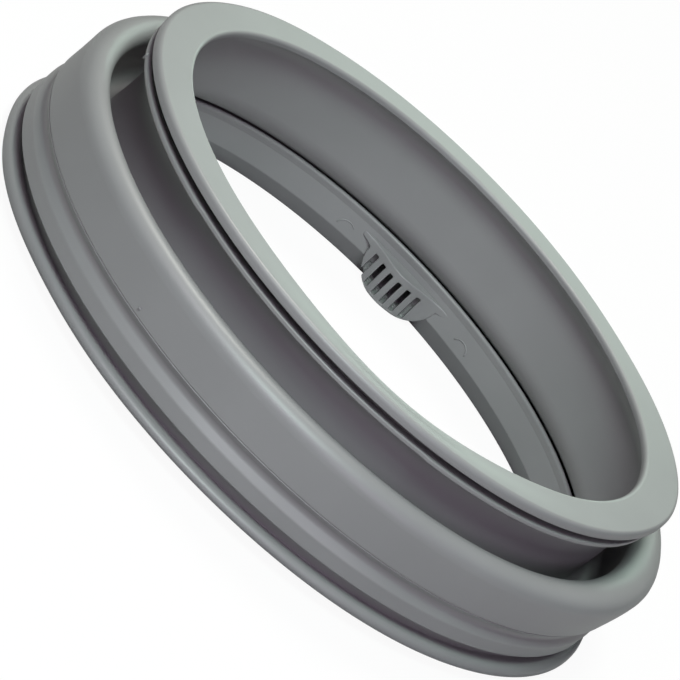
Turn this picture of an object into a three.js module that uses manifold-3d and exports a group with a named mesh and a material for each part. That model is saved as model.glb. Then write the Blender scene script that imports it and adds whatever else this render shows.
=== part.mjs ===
// Door seal of a front-loading washing machine: one moulding in grey rubber.
// The section is one closed outline, revolved about Z. A drain scoop is then joined
// to the inner collar, and the soft front stands a little over to +X.
// Millimetres, +Z up. The rear end, which goes into the tub, lies at Z = 0.

import * as THREE from 'three';
import { mergeVertices } from 'three/addons/utils/BufferGeometryUtils.js';
import Module from 'manifold-3d';

const wasm = await Module();
wasm.setup();

// Whole seal
const height = 90; // rear end to front face
const wall = 3; // thickness of the folded bellows wall
const leanOver = 4.2; // how far the front stands over to +X
const turns = 60; // facets round the axis
const bendSteps = 6; // facets round each half circle of the bellows
const cornerSteps = 3;
const softSteps = 2; // facets of a corner that hardly shows
const cornerReach = 0.48; // most of a side that one rounded corner may take up

// Front ring, groove for the cabinet sheet, and the thin lip behind it
const neckRadius = 160.5; // outside of the neck, also the bottom of the groove
const ringInset = 12.3; // how far the ring stands in from the neck's outside
const ringOverhang = 9.5; // and how far it stands out
const openingRound = 1.4;
const ringThickness = 5.6;
const ringRound = 2.6;
const ringUnderRound = 12; // sweep from the ring's inner edge into the neck
const ringInnerEdge = 3.4; // height of the ring's inner edge before that sweep
const sheetGroove = 3;
const lipReach = 9.4; // how far the lip stands out from the neck
const lipThickness = 2.4;

// Bellows: a fold that opens to the front, then a rolled rim and the outer band
const foldWidth = 12.3;
const foldDepth = 57.9; // front face to the bottom of the fold
const foldSweep = 12.5; // wide round under the fold, on the neck's side
const rimDepth = 26.6; // front face to the crest of the rolled rim
const rimWidth = 16.1; // across the rolled rim, from the fold to the outside of the band
const bandDraft = 0.3; // how far the band's lower end, at the mould line, stands back
const waistDepth = 2.7; // narrow place between the band and the bead
const waistHeight = 2.5;
const waistSlope = 4.5; // height of the slope from the bead into the waist
const shoulderSlope = 3; // height of the slope from the waist to the shoulder

// Tub end: bead, clamp groove, flange and the channel that takes the tub's lip
const beadHeight = 7.7;
const clampGroove = 5.4;
const clampGrooveDepth = 5.9;
const flangeReach = 2.4; // how far the flange stands out from the bead above it
const flangeWidth = 14.8; // across the flange, from the tub channel to its outside
const flangeThickness = 7.9;
const flangeRound = 3;
const flangeHeight = 4.5; // underside of the flange above the rear end
const legWidth = 3.5; // across the rear end
const tubChannel = 4;
const tubChannelHeight = 12;
const footThickness = 7.5; // rubber between the channel and the trough above it

// Inner collar, with a rounded free edge just under the fold
const collarGap = 1; // free edge to the underside of the fold
const collarStep = 1.5; // how far the free edge stands out from the neck's outside
const collarEdge = 1.6; // radius of the rounded free edge
const edgeSweep = 15; // degrees that this round goes on past half a circle, on both sides
const collarInset = 0.6; // how far the edge stands in from the collar's wall
const collarThickness = 2.8;
const ridgeInset = 1.1; // soft ridge, in from the wall, where the collar turns out to the rear end
const ridgeHeight = 11;
const ridgeRound = 1.5;
const troughRound = 3;
const troughClearance = 3; // outer wall of the trough behind the waist

// Drain scoop on the collar, at +Y
const scoopReach = 12.2; // how far the face stands in from the collar
const scoopSpread = 18.5; // sideways run over which the face swings back to the collar
const scoopAside = 0.7; // where the face stands in most, from the Y axis
const scoopDrop = 8.1; // collar edge down to the flat shelf on top of the scoop
const scoopMiddle = 3.1; // middle of the front view, from the Y axis
const scoopHalf = 25; // half the width of the front view
const scoopCorner = 17;
const scoopFloor = 0.2; // underside of the scoop above the rear end
const shelfHalf = 33; // half the width of the shelf, which runs out on the collar
const shelfThickness = 2.6;
const slotCount = 6;
const slotPitch = 6.4;
const slotAside = 0.3; // middle of the row of slots, from the Y axis
const slotWidth = 2.2;
const slotDrop = 4.2; // shelf down to the top of the slots
const slotRim = 2; // rubber left under the slots
const slotFoot = 4.6; // depth of the middle slots at their lower end
const slotBack = 0.6; // floor of the slots at their top, in from the collar's wall
const ductHalf = 11.5; // duct from the deep slots up into the trough
const ductInset = 5.6; // near side of the duct, in from the collar's wall
const ductReach = 1; // far side of the duct, out from the rear end's inner edge
const ductHeight = 8;
const overlap = 1; // how deep joined solids run into each other, and cutters run past

const openingRadius = neckRadius - ringInset;
const ringRadius = neckRadius + ringOverhang;
const ringUnder = height - ringThickness;
const lipTop = ringUnder - sheetGroove;
const lipUnder = lipTop - lipThickness;
const lipRadius = neckRadius + lipReach;
const neckInside = neckRadius - wall;
const foldRound = foldWidth / 2;
const foldCentre = { r: neckRadius + foldRound, z: height - foldDepth + foldRound };
const foldOuter = neckRadius + foldWidth;
const foldUnder = height - foldDepth - wall;
const foldTurn = foldWidth + 2 * wall - foldSweep; // tighter round on the band's side
const rimRound = rimWidth / 2;
const rimCentre = { r: foldOuter + rimRound, z: height - rimDepth - rimRound };
const flangeTop = flangeHeight + flangeThickness;
const beadUnder = flangeTop + clampGroove;
const beadTop = beadUnder + beadHeight;
const bandRadius = foldOuter + rimWidth;
const beadRadius = bandRadius;
const flangeRadius = beadRadius + flangeReach;
const shoulderRadius = bandRadius - bandDraft;
const waistRadius = bandRadius - waistDepth;
const waistLow = beadTop + waistSlope;
const waistHigh = waistLow + waistHeight;
const shoulder = waistHigh + shoulderSlope;
const channelRadius = flangeRadius - flangeWidth;
const legRadius = channelRadius - tubChannel;
const rearRadius = legRadius - legWidth; // inner edge of the rear end
const troughFloor = tubChannelHeight + footThickness;
const collarRadius = neckRadius + collarStep;
const collarWall = collarRadius + collarInset;
const ridgeRadius = collarWall - ridgeInset;
const collarBack = collarWall + collarThickness;
const edgeCentre = { r: collarRadius + collarEdge, z: freeEdgeHeight() };
const collarTop = edgeCentre.z + collarEdge;
const scoopNear = collarWall - scoopReach;
const shelf = collarTop - scoopDrop;
const slotTop = shelf - slotDrop;

// Height of the free edge's centre, a clear gap away from the round underside of the fold
function freeEdgeHeight() {
  const apart = foldSweep + collarGap + collarEdge;
  const sideways = neckInside + foldSweep - collarRadius - collarEdge;
  return foldUnder + foldSweep - Math.sqrt(apart * apart - sideways * sideways);
}

function point(r, z) {
  return new THREE.Vector2(r, z);
}

// Points on an arc, both ends included. Angles are in degrees from the outward radius.
function arc(centre, radius, from, to, steps) {
  const points = [];
  for (let i = 0; i <= steps; i++) {
    const angle = THREE.MathUtils.degToRad(from + ((to - from) * i) / steps);
    points.push(point(centre.r + radius * Math.cos(angle), centre.z + radius * Math.sin(angle)));
  }
  return points;
}

// A corner of the outline, rounded with an arc that touches both of its sides
function rounded(before, corner, after, radius, steps) {
  const back = before.clone().sub(corner);
  const ahead = after.clone().sub(corner);
  const half = back.angleTo(ahead) / 2;
  const room = cornerReach * Math.min(back.length(), ahead.length());
  const reach = Math.min(radius / Math.tan(half), room);
  const start = corner.clone().addScaledVector(back.normalize(), reach);
  const end = corner.clone().addScaledVector(ahead.normalize(), reach);
  return new THREE.QuadraticBezierCurve(start, corner, end).getPoints(steps);
}

// Outer side of the front: ring, cabinet groove, lip, and the neck down to the fold
function frontOutside() {
  const inner = point(openingRadius, height);
  const outer = point(ringRadius, height);
  const innerLow = point(openingRadius, height - ringInnerEdge);
  const outerLow = point(ringRadius, ringUnder);
  return [
    ...rounded(innerLow, inner, outer, openingRound, softSteps),
    ...rounded(inner, outer, outerLow, ringRound, cornerSteps),
    outerLow,
    point(neckRadius, ringUnder),
    point(neckRadius, lipTop),
    point(lipRadius, lipTop),
    point(lipRadius, lipUnder),
    point(neckRadius, lipUnder),
  ];
}

// Outer side of the bellows and the band, down to the bead
function bandOutside() {
  return [
    ...arc(foldCentre, foldRound, 180, 360, bendSteps),
    ...arc(rimCentre, rimRound, 180, 0, bendSteps + softSteps),
    point(shoulderRadius, shoulder),
    point(waistRadius, waistHigh),
    point(waistRadius, waistLow),
    point(beadRadius, beadTop),
    point(beadRadius, beadUnder),
  ];
}

// Clamp groove, flange, tub channel and rear end
function tubEnd() {
  const grooveRadius = beadRadius - clampGrooveDepth;
  const top = point(flangeRadius, flangeTop);
  const under = point(flangeRadius, flangeHeight);
  return [
    point(grooveRadius, beadUnder),
    point(grooveRadius, flangeTop),
    ...rounded(point(grooveRadius, flangeTop), top, under, flangeRound, cornerSteps),
    ...rounded(top, under, point(channelRadius, flangeHeight), flangeRound, cornerSteps),
    point(channelRadius, flangeHeight),
    point(channelRadius, tubChannelHeight),
    point(legRadius, tubChannelHeight),
    point(legRadius, 0),
    point(rearRadius, 0),
  ];
}

// Inner collar, from the rear end up over its free edge and down into the trough
function collar() {
  const wallTop = point(collarWall, edgeCentre.z - 2 * collarEdge);
  const ridge = point(ridgeRadius, ridgeHeight);
  const foot = point(collarBack, troughFloor);
  const edge = arc(edgeCentre, collarEdge, 180 + edgeSweep, -edgeSweep, bendSteps - 1);
  return [
    ...rounded(point(rearRadius, 0), ridge, wallTop, ridgeRound, softSteps),
    wallTop,
    ...edge,
    ...rounded(edge[edge.length - 1], foot, point(beadRadius, troughFloor), troughRound, softSteps),
  ];
}

// Inner side of the bellows, from the trough back up to the ring
function bellowsInside() {
  const troughOuter = point(waistRadius - troughClearance, shoulder);
  const corner = point(waistRadius - troughClearance, troughFloor);
  const neckTop = point(neckInside, lipUnder);
  const edgeLow = point(openingRadius, height - ringInnerEdge);
  return [
    ...rounded(point(collarBack, troughFloor), corner, troughOuter, troughRound, softSteps),
    troughOuter,
    ...arc(rimCentre, rimRound - wall, 0, 180, bendSteps),
    ...arc({ r: foldOuter + wall - foldTurn, z: foldUnder + foldTurn }, foldTurn, 360, 270, cornerSteps),
    ...arc({ r: neckInside + foldSweep, z: foldUnder + foldSweep }, foldSweep, 270, 180, cornerSteps),
    ...rounded(point(neckInside, foldCentre.z), neckTop, edgeLow, ringUnderRound, cornerSteps),
    edgeLow,
  ];
}

function revolve(points, segments) {
  const geometry = new THREE.LatheGeometry(points, segments);
  geometry.rotateX(Math.PI / 2);
  return geometry;
}

// Closed mesh to solid: only shared positions are kept
function solid(geometry) {
  const bare = new THREE.BufferGeometry();
  bare.setAttribute('position', geometry.getAttribute('position').clone());
  if (geometry.index) bare.setIndex(geometry.index.clone());
  const merged = mergeVertices(bare, 1e-4);
  const mesh = new wasm.Mesh({
    numProp: 3,
    vertProperties: new Float32Array(merged.getAttribute('position').array),
    triVerts: withoutSlivers(merged.index.array),
  });
  return new wasm.Manifold(mesh);
}

// Triangles that lost a side when the vertices were merged are left out
function withoutSlivers(index) {
  const kept = [];
  for (let i = 0; i < index.length; i += 3) {
    const [a, b, c] = [index[i], index[i + 1], index[i + 2]];
    if (a !== b && b !== c && c !== a) kept.push(a, b, c);
  }
  return new Uint32Array(kept);
}

// The section runs from the front ring down its outer side, round the rear end and back up inside.
// It is turned round for the revolve, which wants it anticlockwise.
function moulding() {
  const outline = [...frontOutside(), ...bandOutside(), ...tubEnd(), ...collar(), ...bellowsInside()];
  outline.reverse();
  outline.push(outline[0].clone());
  return solid(revolve(outline, turns));
}

// Shape in plan or in side view, made into a solid and turned so that it stands as asked
function prism(points, depth) {
  return new THREE.ExtrudeGeometry(new THREE.Shape(points), { depth, bevelEnabled: false });
}

// The face seen from above: it swings back to the collar on both sides like a bell
function scoopFace() {
  const end = shelfHalf + overlap;
  const steps = 6 * cornerSteps;
  const points = [point(end, collarBack), point(-end, collarBack)];
  for (let i = 0; i <= steps; i++) {
    const x = end * ((2 * i) / steps - 1);
    const swing = Math.exp(-((x / scoopSpread) ** 2));
    points.push(point(x, Math.sqrt(collarWall ** 2 - x * x) - scoopReach * swing));
  }
  const geometry = prism(points, shelf + overlap);
  geometry.translate(scoopAside, 0, -overlap);
  return solid(geometry);
}

// Front view of the scoop, run straight back: large round corners, and the wider shelf on top
function scoopFront() {
  const under = shelf - shelfThickness;
  const round = Math.min(scoopCorner, under - scoopFloor);
  const flat = scoopHalf - round;
  const corner = scoopFloor + round;
  const geometry = prism([
    point(shelfHalf, shelf),
    point(shelfHalf, under),
    ...arc({ r: flat, z: corner }, round, 0, -90, bendSteps),
    ...arc({ r: -flat, z: corner }, round, 270, 180, bendSteps),
    point(-shelfHalf, under),
    point(-shelfHalf, shelf),
  ], scoopReach + 2 * collarThickness);
  geometry.rotateX(Math.PI / 2);
  geometry.translate(scoopMiddle, collarBack, 0);
  return solid(geometry);
}

// Everything inside the collar, set out by a margin so that joined solids share material
function insideCollar(margin) {
  return solid(revolve([
    point(0, 0),
    point(rearRadius + margin, 0),
    point(ridgeRadius + margin, ridgeHeight),
    point(collarWall + margin, shelf + overlap),
    point(0, shelf + overlap),
  ], turns));
}

// Side view, in distance from the axis and height, made into a solid of the given width at x
function sidePrism(points, width, x) {
  const geometry = prism(points, width);
  geometry.rotateX(Math.PI / 2);
  geometry.rotateZ(Math.PI / 2);
  geometry.translate(x - width / 2, 0, 0);
  return solid(geometry);
}

// A slot has a slanted floor: it is deepest at its top
function slot(index) {
  const low = scoopFloor + slotRim;
  const front = scoopNear - overlap;
  const outline = [
    point(front, low),
    point(scoopNear + slotFoot, low),
    point(collarWall - slotBack, slotTop),
    point(front, slotTop),
  ];
  return sidePrism(outline, slotWidth, slotAside + (index - (slotCount - 1) / 2) * slotPitch);
}

// Duct from the deep ends of the slots, under the shelf and the collar, up into the trough
function duct() {
  const low = slotTop - ductHeight;
  const near = collarWall - ductInset;
  const far = rearRadius + ductReach;
  return sidePrism([
    point(near, low),
    point(far, low),
    point(far, troughFloor + overlap),
    point(collarBack + overlap, troughFloor + overlap),
    point(collarBack, slotTop),
    point(near, slotTop),
  ], 2 * ductHalf, 0);
}

function withScoop(body) {
  const hood = scoopFace().intersect(scoopFront()).intersect(insideCollar(overlap));
  let result = body.add(hood).subtract(duct());
  for (let i = 0; i < slotCount; i++) result = result.subtract(slot(i));
  return result;
}

// The soft front leans: each height moves to +X, from nothing at the flange to the whole at the rim
function leaned(geometry) {
  const position = geometry.getAttribute('position');
  const rim = height - rimDepth;
  for (let i = 0; i < position.count; i++) {
    const along = THREE.MathUtils.smoothstep(position.getZ(i), flangeTop, rim);
    position.setX(i, position.getX(i) + leanOver * along);
  }
  return geometry;
}

// The origin is the middle of the base, so the overhang of the lean is shared out on both sides
function centred(geometry) {
  geometry.computeBoundingBox();
  const middle = geometry.boundingBox.getCenter(new THREE.Vector3());
  geometry.translate(-middle.x, -middle.y, 0);
  return geometry;
}

function toGeometry(body) {
  const mesh = body.getMesh();
  const geometry = new THREE.BufferGeometry();
  geometry.setAttribute('position', new THREE.BufferAttribute(mesh.vertProperties, 3));
  geometry.setIndex(new THREE.BufferAttribute(mesh.triVerts, 1));
  return geometry;
}

const rubber = new THREE.MeshStandardMaterial({ color: 0x858a8b, roughness: 0.55, metalness: 0 });
const seal = new THREE.Mesh(centred(leaned(toGeometry(withScoop(moulding())))), rubber);
seal.name = 'door_seal';

const part = new THREE.Group();
part.add(seal);

export default part;
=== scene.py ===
# Door seal of a front-loading washing machine: one moulding in grey rubber on a pale floor.
# Lengths are millimetres up to the point where a mesh is made, which is in metres.
# Angles are degrees, and on the seal they are counted from +X.

import math
import bmesh
import bpy
from mathutils import Matrix, Vector


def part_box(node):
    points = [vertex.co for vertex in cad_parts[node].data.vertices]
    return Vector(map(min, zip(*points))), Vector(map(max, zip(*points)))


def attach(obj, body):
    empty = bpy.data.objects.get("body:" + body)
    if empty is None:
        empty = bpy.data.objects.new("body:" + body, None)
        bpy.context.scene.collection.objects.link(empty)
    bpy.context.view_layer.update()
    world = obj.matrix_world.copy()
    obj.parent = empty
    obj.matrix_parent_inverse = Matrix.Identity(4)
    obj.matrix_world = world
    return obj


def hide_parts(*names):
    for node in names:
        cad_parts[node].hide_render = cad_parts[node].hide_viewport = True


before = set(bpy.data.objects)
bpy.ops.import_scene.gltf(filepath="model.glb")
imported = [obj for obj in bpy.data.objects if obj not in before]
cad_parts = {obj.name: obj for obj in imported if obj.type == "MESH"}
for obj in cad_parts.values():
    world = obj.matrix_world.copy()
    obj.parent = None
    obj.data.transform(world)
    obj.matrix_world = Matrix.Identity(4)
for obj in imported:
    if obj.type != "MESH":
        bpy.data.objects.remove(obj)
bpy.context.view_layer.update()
MM = 0.001

# The model's box gives the overall sizes and the axis of the rear end
low, high = [[value / MM for value in corner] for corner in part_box("door_seal")]
height = high[2] - low[2]
flange_radius = (high[1] - low[1]) / 2
axis_x = low[0] + flange_radius

# Whole seal
wall = 3
lean_over = 4.2
columns = 360

# Front ring, groove for the cabinet sheet, and the thin lip behind it
ring_inset = 12.3
ring_overhang = 9.5
opening_round = 2
ring_thickness = 4.9
ring_round = 2.4
ring_inner_edge = 3.4
ring_under_round = 8
sheet_groove = 3.7
lip_reach = 9.4
lip_thickness = 2.4
lip_round = 0.7
small_round = 0.5

# Bellows
fold_width = 12.3
fold_depth = 58.7
fold_sweep = 15.5
rim_depth = 26.6
rim_width = 16.1
band_draft = 0.3
waist_depth = 2.7
waist_height = 2.5
waist_slope = 4.5
shoulder_slope = 3
waist_round = 3

# Fine line that the halves of the mould left above the waist
mould_line = 0.35

# Second, fainter line in the waist, a thin raised thread that drops at its end
waist_line_height = 27.3
waist_line_drop = 2.4
waist_line_bend = 0.6
waist_line_from = -62
waist_line_to = -24
waist_line_steps = 60
thread_round = 0.35
thread_out = 0.2

# Round pads on the collar: x of the middle, and where the visible part of the edge starts and ends
pad_places = [(-38.8, 168, 45), (49.9, 150, 12)]
pad_height = 13.4
pad_round = 5.5

# Nib across the edge of the lip, and pimple on the band
nib_angle = -159.5
nib_round = 0.7
nib_overhang = 0.6
pimple_angle = -111.7
pimple_height = 39.2
pimple_round = 0.8
pimple_stretch = 0.6

# The front ring sags at the near side, most at its inner edge
ring_sag = 3.4
ring_sag_at = -75
ring_sag_width = 22
ring_sag_inset = 4
ring_sag_blend = 16
neck_blend = 10

# Soft rubber isn't quite round: each swell is how far out, the middle and the width
ring_swells = [(3, 6, 22), (-2, 53, 16), (0.9, 120, 34), (0.9, 147, 12)]
flange_swells = [(1.5, -6, 22), (0.7, -178, 10), (-0.6, -160, 8), (-1.5, -125, 13)]
groove_blend = 3
flange_lift = 1.5
flange_lift_at = -90
flange_lift_width = 38
rim_swell = 2.2
rim_swell_at = -12
rim_swell_width = 32
rim_blend = 2

# Stretch of the lip that was trimmed a little shorter
lip_trim = 0.9
lip_trim_from = -119.9
lip_trim_to = -68
lip_trim_blend = 1
lip_trim_inset = 3
lip_trim_margin = 1

# Tub end
bead_height = 7.7
bead_round = 2
clamp_groove = 6.6
clamp_groove_depth = 5.9
flange_reach = 2.4
flange_width = 14.8
flange_thickness = 6.7
flange_round = 3
flange_height = 4.5
leg_width = 3.5
tub_channel = 4
tub_channel_height = 12
foot_thickness = 7.5

# Inner collar
collar_gap = 1.2
collar_step = 1.5
collar_edge = 1.6
collar_inset = 0.6
collar_thickness = 2.8
ridge_inset = 1.1
ridge_height = 11
ridge_round = 1.5
trough_round = 3
trough_clearance = 3

# Drain scoop
scoop_reach = 12.2
scoop_spread = 18.5
scoop_aside = 0.7
scoop_drop = 8.1
scoop_middle = 3.1
scoop_half = 25
scoop_corner = 17
scoop_floor = 0.2
scoop_steps = 120
shelf_half = 33
shelf_thickness = 2.6
slot_count = 6
slot_pitch = 6.4
slot_aside = 0.3
slot_width = 2.7
slot_drop = 4.2
slot_rim = 1.4
slot_foot = 10.2
slot_back = 0.6
duct_half = 11.5
duct_inset = 7
duct_reach = 1
duct_height = 14
overlap = 1
scoop_grain = 0.3
scoop_smoothing = 14

# Rubber: a cloudy grey with a very fine grain
rubber_dark = (0.232, 0.234, 0.234, 1)
rubber_light = (0.248, 0.250, 0.250, 1)
rubber_roughness = 0.42
rubber_gloss = 0.5
cloud_scale = 18
cloud_detail = 4
grain_scale = 900
grain_detail = 2
grain_strength = 0.12
grain_depth = 0.1

# Floor
floor_reach = 6000
floor_tone = (0.45, 0.45, 0.45, 1)
floor_roughness = 0.9
floor_white = 1.04
floor_white_share = 0.9

# Camera
focal_length = 167.92
sensor_width = 36
camera_pitch = 68.82
camera_roll = 46.14
camera_aside = 2.32
camera_back = 1447.3
camera_height = 589.5

# Lamps: square ones, all at the same distance from the seal
lamp_side = 800
lamp_distance = 2200

# What follows from these sizes
bead_radius = flange_radius - flange_reach
band_radius = bead_radius
fold_outer = band_radius - rim_width
neck_radius = fold_outer - fold_width
neck_inside = neck_radius - wall
opening_radius = neck_radius - ring_inset
ring_radius = neck_radius + ring_overhang
ring_under = height - ring_thickness
lip_top = ring_under - sheet_groove
lip_under = lip_top - lip_thickness
lip_radius = neck_radius + lip_reach
fold_round = fold_width / 2
fold_low = height - fold_depth
rim_top = height - rim_depth
rim_round = rim_width / 2
rim_middle = fold_outer + rim_round
flange_top = flange_height + flange_thickness
shoulder_radius = band_radius - band_draft
waist_radius = band_radius - waist_depth
bead_under = flange_top + clamp_groove
bead_top = bead_under + bead_height
waist_low = bead_top + waist_slope
waist_high = waist_low + waist_height
shoulder = waist_high + shoulder_slope
groove_radius = bead_radius - clamp_groove_depth
channel_radius = flange_radius - flange_width
leg_radius = channel_radius - tub_channel
rear_radius = leg_radius - leg_width
trough_floor = tub_channel_height + foot_thickness
trough_outer = waist_radius - trough_clearance
collar_radius = neck_radius + collar_step
collar_wall = collar_radius + collar_inset
ridge_radius = collar_wall - ridge_inset
collar_back = collar_wall + collar_thickness


def free_edge_height():
    """Height of the free edge's centre, a clear gap away from the round underside of the fold."""
    apart = fold_sweep + collar_gap + collar_edge
    sideways = neck_inside + fold_sweep - collar_radius - collar_edge
    return fold_low - wall + fold_sweep - math.sqrt(apart ** 2 - sideways ** 2)


edge_centre = free_edge_height()
edge_low = edge_centre - 2 * collar_edge
collar_top = edge_centre + collar_edge
scoop_near = collar_wall - scoop_reach
shelf = collar_top - scoop_drop
slot_top = shelf - slot_drop


def front_outside():
    """Corners (radius, height, round) of the ring, the cabinet groove, the lip and the neck."""
    return [
        (opening_radius, height, opening_round),
        (ring_radius, height, ring_round),
        (ring_radius, ring_under, small_round),
        (neck_radius, ring_under, small_round),
        (neck_radius, lip_top, small_round),
        (lip_radius, lip_top, lip_round),
        (lip_radius, lip_under, lip_round),
        (neck_radius, lip_under, 2 * lip_round),
    ]


def band_outside():
    """Corners of the fold, the rolled rim, the band, the waist and the bead."""
    return [
        (neck_radius, fold_low, fold_round),
        (fold_outer, fold_low, fold_round),
        (fold_outer, rim_top, rim_round),
        (band_radius, rim_top, rim_round),
        (shoulder_radius, shoulder + 2 * mould_line, small_round),
        (shoulder_radius - 1.5 * mould_line, shoulder + mould_line, mould_line / 2),
        (shoulder_radius, shoulder, small_round),
        (waist_radius, waist_high, waist_round),
        (waist_radius, waist_low, waist_round),
        (bead_radius, bead_top, bead_round),
        (bead_radius, bead_under, lip_round),
    ]


def tub_end():
    """Corners of the clamp groove, the flange, the tub channel and the rear end."""
    return [
        (groove_radius, bead_under, small_round),
        (groove_radius, flange_top, small_round),
        (flange_radius, flange_top, flange_round),
        (flange_radius, flange_height, flange_round),
        (channel_radius, flange_height, small_round),
        (channel_radius, tub_channel_height, small_round),
        (leg_radius, tub_channel_height, small_round),
        (leg_radius, 0, small_round),
        (rear_radius, 0, small_round),
    ]


def collar_and_bellows_inside():
    """Corners of the collar, its free edge, the trough, and the inner side up to the ring."""
    edge_back = collar_radius + 2 * collar_edge
    return [
        (ridge_radius, ridge_height, ridge_round),
        (collar_wall, edge_low, small_round),
        (collar_radius, edge_centre, collar_edge),
        (collar_radius, collar_top, collar_edge),
        (edge_back, collar_top, collar_edge),
        (collar_back, trough_floor, trough_round),
        (trough_outer, trough_floor, trough_round),
        (trough_outer, shoulder, wall),
        (band_radius - wall, rim_top - wall, rim_round - wall),
        (fold_outer + wall, rim_top - wall, rim_round - wall),
        (fold_outer + wall, fold_low - wall, fold_width + 2 * wall - fold_sweep),
        (neck_inside, fold_low - wall, fold_sweep),
        (neck_inside, lip_top, ring_under_round),
        (opening_radius, height - ring_inner_edge, small_round),
    ]


def corner_arcs(corners, steps):
    """One arc for each corner. A side too short for the arcs at both its ends is shared by them."""
    points = [Vector(corner[:2]) for corner in corners]
    backs = [points[i - 1] - point for i, point in enumerate(points)]
    aheads = [-back for back in backs[1:] + backs[:1]]
    turns = [back.angle(ahead) for back, ahead in zip(backs, aheads)]
    wishes = [corner[2] / math.tan(turn / 2) for corner, turn in zip(corners, turns)]
    arcs = []
    for i, corner in enumerate(points):
        wish = wishes[i]
        share_back = backs[i].length * wish / (wish + wishes[i - 1])
        share_ahead = aheads[i].length * wish / (wish + wishes[(i + 1) % len(wishes)])
        reach = min(wish, share_back, share_ahead)
        back = backs[i].normalized()
        ahead = aheads[i].normalized()
        centre = corner + (back + ahead).normalized() * reach / math.cos(turns[i] / 2)
        start = corner + back * reach - centre
        end = corner + ahead * reach - centre
        turn = start.angle_signed(end)
        parts = max(2, math.ceil(steps * abs(turn) / (math.pi / 2)))
        arcs.append([centre + Matrix.Rotation(-turn * k / parts, 2) @ start for k in range(parts + 1)])
    return arcs


def filleted(corners, steps=7, support=0.3, stretch=4):
    """Closed outline with an arc at each corner, and points beside the arcs and along the runs."""
    arcs = corner_arcs(corners, steps)
    outline = []
    for bend, following in zip(arcs, arcs[1:] + arcs[:1]):
        outline += bend
        run = following[0] - bend[-1]
        length = run.length
        if length < 3 * support:
            continue
        direction = run / length
        pieces = max(1, math.ceil((length - 2 * support) / stretch))
        for k in range(pieces + 1):
            along = support + (length - 2 * support) * k / pieces
            outline.append(bend[-1] + direction * along)
    return outline


def mesh_object(name, vertices, faces):
    mesh = bpy.data.meshes.new(name)
    mesh.from_pydata([tuple(value * MM for value in vertex) for vertex in vertices], [], faces)
    bm = bmesh.new()
    bm.from_mesh(mesh)
    bmesh.ops.remove_doubles(bm, verts=bm.verts, dist=0.001 * MM)
    bmesh.ops.recalc_face_normals(bm, faces=bm.faces)
    bm.to_mesh(mesh)
    bm.free()
    thing = bpy.data.objects.new(name, mesh)
    bpy.context.scene.collection.objects.link(thing)
    return thing


def revolve(name, outline):
    """Ring-shaped or solid body of revolution about the axis of the rear end."""
    vertices = []
    faces = []
    size = len(outline)
    for column in range(columns):
        angle = 2 * math.pi * column / columns
        for r, z in outline:
            vertices.append((r * math.cos(angle), r * math.sin(angle), z))
    for column in range(columns):
        here = column * size
        there = (column + 1) % columns * size
        for k in range(size):
            after = (k + 1) % size
            faces.append((here + k, there + k, there + after, here + after))
    return mesh_object(name, vertices, faces)


def smooth_step(value, start, end):
    share = min(max((value - start) / (end - start), 0), 1)
    return share * share * (3 - 2 * share)


def bell(angle, middle, width):
    """Bell-shaped share of a local change, 1 at the middle."""
    apart = (angle - middle + 180) % 360 - 180
    return math.exp(-(apart / width) ** 2)


def swelling(swells, angle):
    return sum(size * bell(angle, middle, width) for size, middle, width in swells)


def sag_of_ring(r, angle, z):
    """How far the ring has sunk: all of it at the opening, and nothing near its outer edge."""
    inward = smooth_step(ring_radius - ring_sag_inset - r, 0, ring_sag_blend)
    upward = smooth_step(z, lip_under - neck_blend, ring_under)
    return ring_sag * inward * upward * bell(angle, ring_sag_at, ring_sag_width)


def spread_of_ring(r, angle, z):
    outward = smooth_step(z, lip_top, ring_under) * smooth_step(r, opening_radius, neck_radius)
    return outward * swelling(ring_swells, angle)


def spread_of_flange(r, angle, z):
    downward = 1 - smooth_step(z, flange_top, bead_under)
    outward = smooth_step(r, groove_radius - groove_blend, bead_radius)
    return outward * downward * swelling(flange_swells, angle)


def lift_of_flange(r, angle, z):
    """How far the flange's underside is raised. Its top stays where it is."""
    outward = smooth_step(r, channel_radius, groove_radius)
    underneath = outward * (1 - smooth_step(z, flange_height, flange_top))
    return flange_lift * underneath * bell(angle, flange_lift_at, flange_lift_width)


def swell_of_rim(r, angle, z):
    """The rolled rim grows wider both ways from its middle."""
    across = min(max((r - rim_middle) / rim_round, -1), 1)
    upward = smooth_step(z, bead_top, rim_top - rim_round)
    on_rim = upward * smooth_step(r, neck_radius + rim_blend, fold_outer)
    return rim_swell * across * on_rim * bell(angle, rim_swell_at, rim_swell_width)


def trim_of_lip(r, angle, z):
    on_lip = lip_under - lip_trim_margin < z < lip_top + lip_trim_margin
    if r <= neck_radius + lip_trim_inset or not on_lip:
        return 0
    begun = smooth_step(angle, lip_trim_from - lip_trim_blend, lip_trim_from)
    ended = smooth_step(angle, lip_trim_to - lip_trim_blend, lip_trim_to)
    return lip_trim * (begun - ended)


def settle(r, angle, z):
    """Radius and height of a point once the soft rubber has settled a little out of round."""
    spread = spread_of_ring(r, angle, z) + spread_of_flange(r, angle, z)
    swell = swell_of_rim(r, angle, z)
    trim = trim_of_lip(r, angle, z)
    return r + swell + spread - trim, z - sag_of_ring(r, angle, z) + lift_of_flange(r, angle, z)


def lean(thing):
    """Settle each point, then move it to +X, from nothing at the flange to the whole at the rim."""
    for vertex in thing.data.vertices:
        x, y, z = [value / MM for value in vertex.co]
        angle = math.atan2(y, x)
        r, z = settle(math.hypot(x, y), math.degrees(angle), z)
        along = axis_x + lean_over * smooth_step(z, flange_top, rim_top)
        vertex.co = Vector((r * math.cos(angle) + along, r * math.sin(angle), z)) * MM


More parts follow.
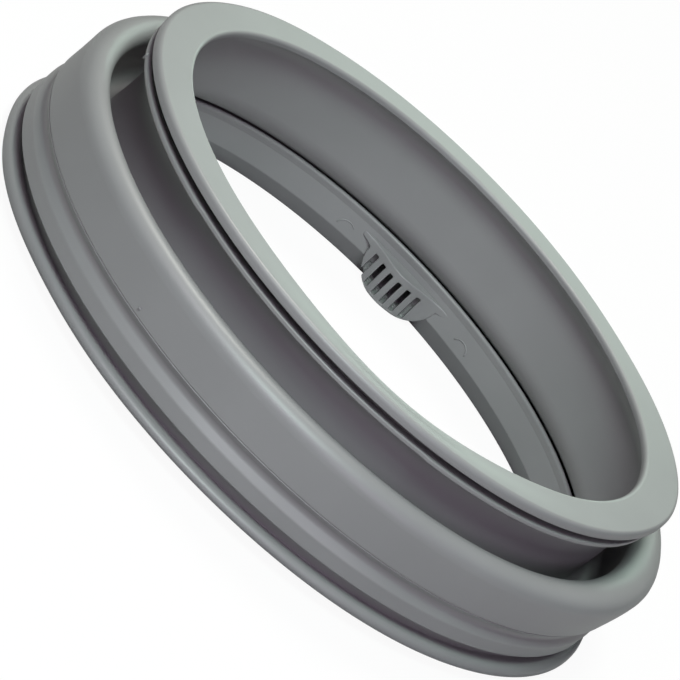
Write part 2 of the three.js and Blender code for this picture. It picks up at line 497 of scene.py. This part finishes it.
def tube(path, radius, sides=8):
    """Vertices and faces of a round thread along a path of points, closed at both ends."""
    vertices = []
    last = len(path) - 1
    for k, point in enumerate(path):
        along = (path[min(k + 1, last)] - path[max(k - 1, 0)]).normalized()
        side = along.cross(Vector((point.x, point.y, 0))).normalized()
        out = side.cross(along)
        for j in range(sides):
            turn = 2 * math.pi * j / sides
            vertices.append(point + radius * (math.cos(turn) * side + math.sin(turn) * out))
    faces = []
    for k in range(last):
        here = k * sides
        there = here + sides
        for j in range(sides):
            after = (j + 1) % sides
            faces.append((here + j, here + after, there + after, there + j))
    faces.append(tuple(range(sides)))
    faces.append(tuple(last * sides + j for j in reversed(range(sides))))
    return vertices, faces


def polar(r, angle, z):
    turn = math.radians(angle)
    return Vector((r * math.cos(turn), r * math.sin(turn), z))


def waist_line():
    path = []
    for k in range(waist_line_steps + 1):
        share = k / waist_line_steps
        angle = waist_line_from + (waist_line_to - waist_line_from) * share
        drop = waist_line_drop * smooth_step(share, waist_line_bend, 1)
        path.append(polar(waist_radius + thread_out, angle, waist_line_height - drop))
    return tube(path, thread_round)


def pad_outline(middle, start, end):
    """Part of a round pad's edge. It lies on the slope between the ridge and the free edge."""
    path = []
    for x, z in arc(middle, pad_height, pad_round, start, end):
        share = (z - ridge_height) / (edge_low - ridge_height)
        r = ridge_radius + (collar_wall - ridge_radius) * share
        path.append(Vector((x, math.sqrt(r * r - x * x), z)))
    return tube(path, thread_round)


def nib():
    """Short thread across the lip's edge, which stands out a little above and below it."""
    middle = (lip_under + lip_top) / 2
    half = lip_thickness / 2 + nib_overhang
    path = [polar(lip_radius, nib_angle, middle + k) for k in (-half, 0, half)]
    return tube(path, nib_round)


def pimple():
    """Short thick thread, so deep in the band that only a low bump stands out."""
    r = band_radius - pimple_round / 2
    half = pimple_stretch * pimple_round
    path = [polar(r, pimple_angle, pimple_height + k) for k in (-half, 0, half)]
    return tube(path, pimple_round)


def make_marks():
    """All the small raised marks as one mesh. Each is partly sunk into the rubber under it."""
    marks = [waist_line(), nib(), pimple()] + [pad_outline(*place) for place in pad_places]
    vertices = []
    faces = []
    for mark_vertices, mark_faces in marks:
        start = len(vertices)
        vertices += mark_vertices
        faces += [tuple(start + k for k in face) for face in mark_faces]
    return mesh_object("marks", vertices, faces)


def make_moulding():
    corners = front_outside() + band_outside() + tub_end() + collar_and_bellows_inside()
    return revolve("moulding", filleted(corners))


def apply_modifiers(thing):
    shape = bpy.context.evaluated_depsgraph_get()
    mesh = bpy.data.meshes.new_from_object(thing.evaluated_get(shape))
    thing.modifiers.clear()
    thing.data = mesh


def combine(thing, other, operation):
    """Boolean of two solids, applied to the first one. The second one is deleted."""
    modifier = thing.modifiers.new("combine", "BOOLEAN")
    modifier.operation = operation
    modifier.solver = "EXACT"
    modifier.object = other
    apply_modifiers(thing)
    bpy.data.objects.remove(other)


def prism(name, outline, depth, place):
    """Solid between an outline and its copy at the given depth.

    place turns a point of the outline and a depth into x, y and z.
    """
    size = len(outline)
    vertices = [place(u, v, d) for d in (0, depth) for u, v in outline]
    faces = [(k, (k + 1) % size, size + (k + 1) % size, size + k) for k in range(size)]
    faces += [tuple(range(size)), tuple(range(2 * size - 1, size - 1, -1))]
    return mesh_object(name, vertices, faces)


def arc(u, v, radius, start, end, steps=16):
    """Points on an arc about (u, v), both ends included."""
    angles = [math.radians(start + (end - start) * k / steps) for k in range(steps + 1)]
    return [(u + radius * math.cos(angle), v + radius * math.sin(angle)) for angle in angles]


def scoop_face():
    """The face seen from above: it swings back to the collar on both sides like a bell."""
    end = shelf_half + overlap
    outline = [(end, collar_back), (-end, collar_back)]
    for k in range(scoop_steps + 1):
        x = end * (2 * k / scoop_steps - 1)
        swing = math.exp(-(x / scoop_spread) ** 2)
        outline.append((x, math.sqrt(collar_wall ** 2 - x * x) - scoop_reach * swing))
    return prism("face", outline, shelf + overlap, lambda x, y, d: (scoop_aside + x, y, d - overlap))


def scoop_front():
    """Front view of the scoop, run straight back: large round corners, and the wider shelf on top."""
    under = shelf - shelf_thickness
    flat = scoop_half - scoop_corner
    corner = scoop_floor + scoop_corner
    outline = [(-shelf_half, under), (-shelf_half, shelf), (shelf_half, shelf), (shelf_half, under)]
    outline += arc(flat, corner, scoop_corner, 0, -90)
    outline += arc(-flat, corner, scoop_corner, -90, -180)
    near = scoop_near - overlap
    return prism("front", outline, collar_back - near, lambda x, z, d: (scoop_middle + x, near + d, z))


def inside_collar():
    """Everything inside the collar, and a little of the collar, so that the joined pieces overlap."""
    return revolve("inside_collar", [
        (0, 0),
        (rear_radius + overlap, 0),
        (ridge_radius + overlap, ridge_height),
        (collar_wall + overlap, shelf + overlap),
        (0, shelf + overlap),
    ])


def side_prism(name, outline, width, middle):
    """Side view, in distance from the axis and height, run through to the given width at x."""
    return prism(name, outline, width, lambda y, z, d: (middle - width / 2 + d, y, z))


def slot(index):
    """A slot has a slanted floor: it is deepest at its top."""
    bottom = scoop_floor + slot_rim
    front = scoop_near - overlap
    foot = scoop_near + slot_foot
    back = collar_wall - slot_back
    outline = [(front, bottom), (foot, bottom), (back, slot_top), (front, slot_top)]
    middle = slot_aside + (index - (slot_count - 1) / 2) * slot_pitch
    return side_prism("slot", outline, slot_width, middle)


def duct():
    """Way from the deep ends of the slots, under the shelf and the collar, up into the trough."""
    bottom = slot_top - duct_height
    near = collar_wall - duct_inset
    far = rear_radius + duct_reach
    return side_prism("duct", [
        (near, bottom),
        (far, bottom),
        (far, trough_floor + overlap),
        (collar_back + overlap, trough_floor + overlap),
        (collar_back, slot_top),
        (near, slot_top),
    ], 2 * duct_half, 0)


def make_scoop():
    """Hood with slots, remeshed finely and smoothed so that its edges are as round as moulded ones."""
    scoop = scoop_face()
    combine(scoop, scoop_front(), "INTERSECT")
    combine(scoop, inside_collar(), "INTERSECT")
    combine(scoop, duct(), "DIFFERENCE")
    for index in range(slot_count):
        combine(scoop, slot(index), "DIFFERENCE")
    remesh = scoop.modifiers.new("remesh", "REMESH")
    remesh.mode = "VOXEL"
    remesh.voxel_size = scoop_grain * MM
    smooth = scoop.modifiers.new("smooth", "SMOOTH")
    smooth.iterations = scoop_smoothing
    apply_modifiers(scoop)
    scoop.name = "scoop"
    return scoop


def add_cloudy_colour(nodes, links, place, shader):
    cloud = nodes.new("ShaderNodeTexNoise")
    cloud.inputs["Scale"].default_value = cloud_scale
    cloud.inputs["Detail"].default_value = cloud_detail
    links.new(place.outputs["Object"], cloud.inputs["Vector"])
    tone = nodes.new("ShaderNodeValToRGB")
    dark_end, light_end = tone.color_ramp.elements
    dark_end.position = 0.3
    dark_end.color = rubber_dark
    light_end.position = 0.7
    light_end.color = rubber_light
    links.new(cloud.outputs["Fac"], tone.inputs["Fac"])
    links.new(tone.outputs["Color"], shader.inputs["Base Color"])


def add_grain(nodes, links, place, shader):
    grain = nodes.new("ShaderNodeTexNoise")
    grain.inputs["Scale"].default_value = grain_scale
    grain.inputs["Detail"].default_value = grain_detail
    links.new(place.outputs["Object"], grain.inputs["Vector"])
    bump = nodes.new("ShaderNodeBump")
    bump.inputs["Strength"].default_value = grain_strength
    bump.inputs["Distance"].default_value = grain_depth * MM
    links.new(grain.outputs["Fac"], bump.inputs["Height"])
    links.new(bump.outputs["Normal"], shader.inputs["Normal"])


def rubber_material():
    material = bpy.data.materials.new("seal_rubber")
    material.use_nodes = True
    nodes, links = material.node_tree.nodes, material.node_tree.links
    shader = nodes["Principled BSDF"]
    shader.inputs["Roughness"].default_value = rubber_roughness
    shader.inputs["Specular IOR Level"].default_value = rubber_gloss
    place = nodes.new("ShaderNodeTexCoord")
    add_cloudy_colour(nodes, links, place, shader)
    add_grain(nodes, links, place, shader)
    return material


def make_seal():
    moulding = make_moulding()
    combine(moulding, duct(), "DIFFERENCE")
    rubber = rubber_material()
    for thing in (moulding, make_scoop(), make_marks()):
        lean(thing)
        for polygon in thing.data.polygons:
            polygon.use_smooth = True
        thing.data.materials.clear()
        thing.data.materials.append(rubber)
        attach(thing, "root")
        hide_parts("door_seal")


def make_camera():
    data = bpy.data.cameras.new("camera")
    data.lens = focal_length
    data.sensor_width = sensor_width
    camera = bpy.data.objects.new("camera", data)
    pitch = Matrix.Rotation(math.radians(camera_pitch), 4, "X")
    roll = Matrix.Rotation(math.radians(camera_roll), 4, "Z")
    place = Vector((camera_aside, -camera_back, camera_height)) * MM
    camera.matrix_world = Matrix.Translation(place) @ pitch @ roll
    bpy.context.scene.collection.objects.link(camera)
    bpy.context.scene.camera = camera


def floor_material():
    """Pale grey for the light, but mostly plain white for the camera, which leaves a faint shadow."""
    material = bpy.data.materials.new("pale_floor")
    material.use_nodes = True
    nodes, links = material.node_tree.nodes, material.node_tree.links
    shader = nodes["Principled BSDF"]
    shader.inputs["Base Color"].default_value = floor_tone
    shader.inputs["Roughness"].default_value = floor_roughness
    white = nodes.new("ShaderNodeEmission")
    white.inputs["Strength"].default_value = floor_white
    seen = nodes.new("ShaderNodeLightPath")
    share = nodes.new("ShaderNodeMath")
    share.operation = "MULTIPLY"
    share.inputs[1].default_value = floor_white_share
    mix = nodes.new("ShaderNodeMixShader")
    links.new(seen.outputs["Is Camera Ray"], share.inputs[0])
    links.new(share.outputs["Value"], mix.inputs["Fac"])
    links.new(shader.outputs["BSDF"], mix.inputs[1])
    links.new(white.outputs["Emission"], mix.inputs[2])
    links.new(mix.outputs["Shader"], nodes["Material Output"].inputs["Surface"])
    return material


def make_floor():
    far = floor_reach
    vertices = [(-far, -far, 0), (far, -far, 0), (far, far, 0), (-far, far, 0)]
    floor = mesh_object("floor", vertices, [(0, 1, 2, 3)])
    floor.data.materials.append(floor_material())


def make_world():
    """The world is black: all the light comes from the lamps."""
    world = bpy.data.worlds.new("studio")
    bpy.context.scene.world = world
    world.use_nodes = True
    world.node_tree.nodes["Background"].inputs["Strength"].default_value = 0


def make_lamp(name, azimuth, elevation, power, color):
    """Square soft lamp that looks at the middle of the seal."""
    data = bpy.data.lights.new(name, "AREA")
    data.energy = power
    data.size = lamp_side * MM
    data.color = color
    lamp = bpy.data.objects.new(name, data)
    rise = math.radians(elevation)
    aim = polar(math.cos(rise), azimuth, math.sin(rise))
    lamp.location = (Vector((0, 0, height / 2)) + aim * lamp_distance) * MM
    lamp.rotation_euler = aim.to_track_quat("Z", "Y").to_euler()
    bpy.context.scene.collection.objects.link(lamp)


def make_lamps():
    """The strongest two look down on the seal. The tints give the rubber its faint colours."""
    make_lamp("top", 115, 65, 33, (1, 0.98, 0.92))
    make_lamp("front_high", 270, 58, 33.5, (0.78, 1, 0.9))
    make_lamp("front_low", 270, 40, 8.5, (0.98, 0.74, 1))
    make_lamp("left", 225, 55, 9.5, (1, 0.82, 0.96))
    make_lamp("right", 305, 22, 8, (0.96, 0.78, 1))
    make_lamp("back", 90, 15, 4.9, (0.76, 1, 0.86))


make_camera()
make_seal()
make_floor()
make_world()
make_lamps()

bpy.context.scene.view_settings.view_transform = "Standard"
